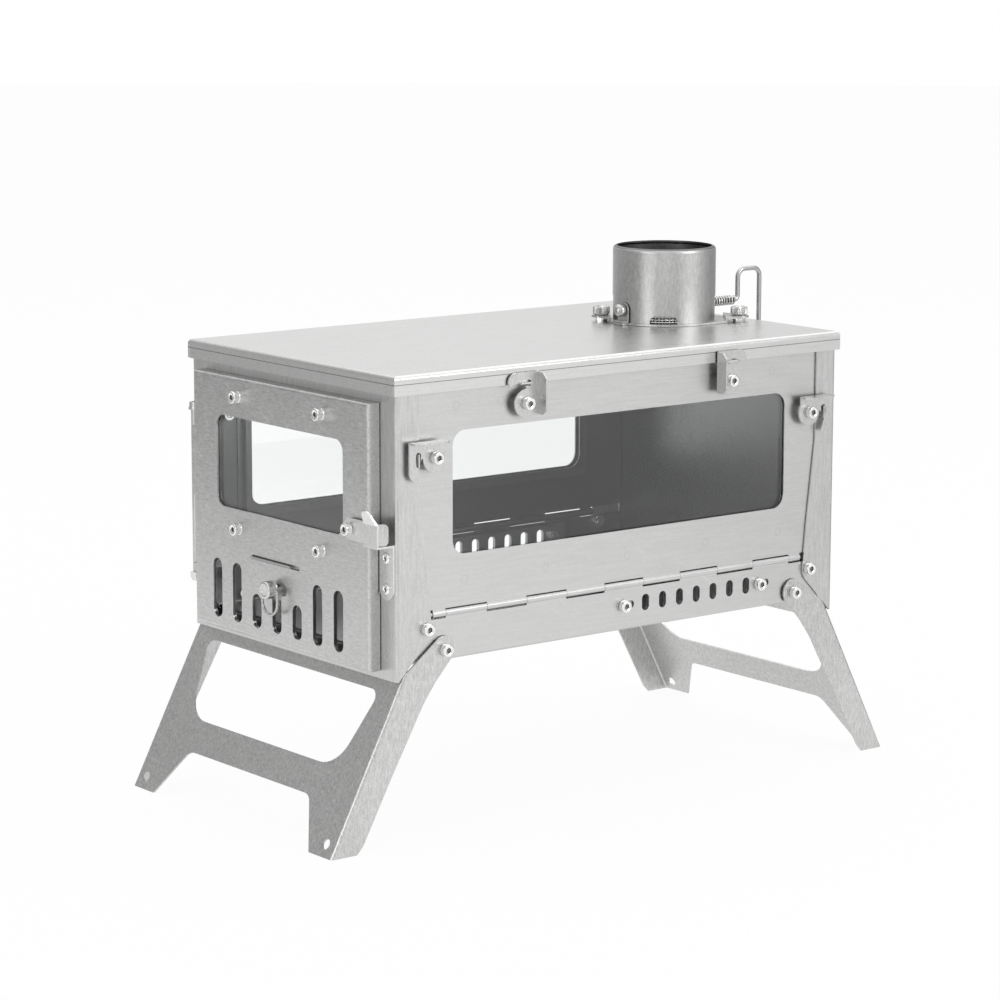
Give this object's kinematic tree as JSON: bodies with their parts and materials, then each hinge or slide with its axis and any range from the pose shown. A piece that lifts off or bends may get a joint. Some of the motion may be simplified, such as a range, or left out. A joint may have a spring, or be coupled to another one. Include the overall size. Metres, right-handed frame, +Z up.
{
  "type": "tent wood stove",
  "caption": "Folding sheet-metal wood stove for a tent, with glazed sides and door, latched lid, folding leg frames and a flue collar with a damper.",
  "frame": {"origin": "on the ground, under the middle of the firebox", "axes": "+X to the right seen from the door side, +Y from the door towards the flue, +Z up"},
  "size_m": [0.2242, 0.421, 0.312],
  "materials": {
    "sheet": "bare satin sheet with a fine grain",
    "fittings": "bare satin sheet, cut and bent",
    "sliders": "darker bare sheet",
    "polished": "polished stainless fasteners and rod",
    "wire": "drawn bright wire",
    "heat_glass": "clear heat-resistant glass"
  },
  "bodies": {
    "body": {"tray": "sheet", "front_panel": "sheet", "rear_panel": "sheet", "hinge_rods": "polished", "door_hinge_pin": "polished", "latch_keeper": "fittings", "keeper_rivets": "polished", "leg_screws": "polished", "panel_screws": "polished"},
    "lid": {"lid": "sheet", "flue_collar": "fittings", "collar_flange": "fittings", "collar_studs": "polished", "thumb_nuts": "polished", "damper_bracket": "fittings", "collar_mesh": "wire"},
    "damper": {"damper_plate": "sliders", "damper_handle": "polished", "damper_spring": "wire"},
    "door": {"door": "sheet", "door_glass": "heat_glass", "door_glass_frame": "fittings", "door_screws": "polished", "door_latch_screw": "polished"},
    "door_lever": {"door_latch": "fittings"},
    "door_air": {"door_slider": "sliders", "slider_knob": "polished"},
    "ring": {"knob_ring": "polished"},
    "side_right": {"side_panel_right": "sheet", "side_glass_right": "heat_glass", "glass_frame_right": "fittings", "latch_screws_right": "polished"},
    "side_left": {"side_panel_left": "sheet", "side_glass_left": "heat_glass", "glass_frame_left": "fittings", "latch_screws_left": "polished"},
    "right_air": {"side_slider_right": "sliders", "slider_screws_right": "polished"},
    "left_air": {"side_slider_left": "sliders", "slider_screws_left": "polished"},
    "front_legs": {"front_leg": "sheet"},
    "rear_legs": {"rear_leg": "sheet"},
    "lid_latch_front_right": {"lid_latch_front_right": "fittings"},
    "corner_latch_front_right": {"corner_latch_front_right": "fittings"},
    "lid_latch_rear_right": {"lid_latch_rear_right": "fittings"},
    "corner_latch_rear_right": {"corner_latch_rear_right": "fittings"},
    "lid_latch_front_left": {"lid_latch_front_left": "fittings"},
    "corner_latch_front_left": {"corner_latch_front_left": "fittings"},
    "lid_latch_rear_left": {"lid_latch_rear_left": "fittings"},
    "corner_latch_rear_left": {"corner_latch_rear_left": "fittings"}
  },
  "joints": [
    {"name": "lid_lift", "type": "slide", "parent": "body", "child": "lid", "axis": [0, 0, 1], "range_m": [0, 0.07]},
    {"name": "damper_turn", "type": "hinge", "parent": "lid", "child": "damper", "pos_m": [0, 0.1152, 0.274], "axis": [0, 1, 0], "continuous": true},
    {"name": "door_swing", "type": "hinge", "parent": "body", "child": "door", "pos_m": [-0.0944, -0.1689, 0.1734], "axis": [0, 0, -1], "range_deg": [0, 150]},
    {"name": "lever_lift", "type": "hinge", "parent": "door", "child": "door_lever", "pos_m": [0.0725, -0.1748, 0.1774], "axis": [0, -1, 0], "range_deg": [0, 45]},
    {"name": "door_air_slide", "type": "slide", "parent": "door", "child": "door_air", "axis": [1, 0, 0], "range_m": [0, 0.007]},
    {"name": "ring_swing", "type": "hinge", "parent": "door_air", "child": "ring", "pos_m": [-0.0032, -0.178, 0.131], "axis": [-1, 0, 0], "range_deg": [-12, 150]},
    {"name": "side_right_fold", "type": "hinge", "parent": "body", "child": "side_right", "pos_m": [0.0989, 0, 0.1286], "axis": [0, -1, 0], "range_deg": [0, 90]},
    {"name": "side_left_fold", "type": "hinge", "parent": "body", "child": "side_left", "pos_m": [-0.0989, 0, 0.1286], "axis": [0, 1, 0], "range_deg": [0, 76]},
    {"name": "right_air_slide", "type": "slide", "parent": "body", "child": "right_air", "axis": [0, 1, 0], "range_m": [0, 0.0065]},
    {"name": "left_air_slide", "type": "slide", "parent": "body", "child": "left_air", "axis": [0, 1, 0], "range_m": [0, 0.0065]},
    {"name": "front_legs_fold", "type": "hinge", "parent": "body", "child": "front_legs", "pos_m": [0, -0.1324, 0.1084], "axis": [1, 0, 0], "range_deg": [0, 116]},
    {"name": "rear_legs_fold", "type": "hinge", "parent": "body", "child": "rear_legs", "pos_m": [0, 0.1324, 0.1084], "axis": [-1, 0, 0], "range_deg": [0, 116]},
    {"name": "lid_latch_front_right_turn", "type": "hinge", "parent": "side_right", "child": "lid_latch_front_right", "pos_m": [0.1046, -0.0766, 0.2428], "axis": [-1, 0, 0], "range_deg": [0, 120]},
    {"name": "corner_latch_front_right_turn", "type": "hinge", "parent": "side_right", "child": "corner_latch_front_right", "pos_m": [0.1046, -0.1407, 0.2182], "axis": [-1, 0, 0], "range_deg": [0, 120]},
    {"name": "lid_latch_rear_right_turn", "type": "hinge", "parent": "side_right", "child": "lid_latch_rear_right", "pos_m": [0.1046, 0.0766, 0.2428], "axis": [1, 0, 0], "range_deg": [0, 120]},
    {"name": "corner_latch_rear_right_turn", "type": "hinge", "parent": "side_right", "child": "corner_latch_rear_right", "pos_m": [0.1046, 0.1407, 0.2182], "axis": [1, 0, 0], "range_deg": [0, 120]},
    {"name": "lid_latch_front_left_turn", "type": "hinge", "parent": "side_left", "child": "lid_latch_front_left", "pos_m": [-0.1046, -0.0766, 0.2428], "axis": [-1, 0, 0], "range_deg": [0, 120]},
    {"name": "corner_latch_front_left_turn", "type": "hinge", "parent": "side_left", "child": "corner_latch_front_left", "pos_m": [-0.1046, -0.1407, 0.2182], "axis": [-1, 0, 0], "range_deg": [0, 120]},
    {"name": "lid_latch_rear_left_turn", "type": "hinge", "parent": "side_left", "child": "lid_latch_rear_left", "pos_m": [-0.1046, 0.0766, 0.2428], "axis": [1, 0, 0], "range_deg": [0, 120]},
    {"name": "corner_latch_rear_left_turn", "type": "hinge", "parent": "side_left", "child": "corner_latch_rear_left", "pos_m": [-0.1046, 0.1407, 0.2182], "axis": [1, 0, 0], "range_deg": [0, 120]}
  ]
}
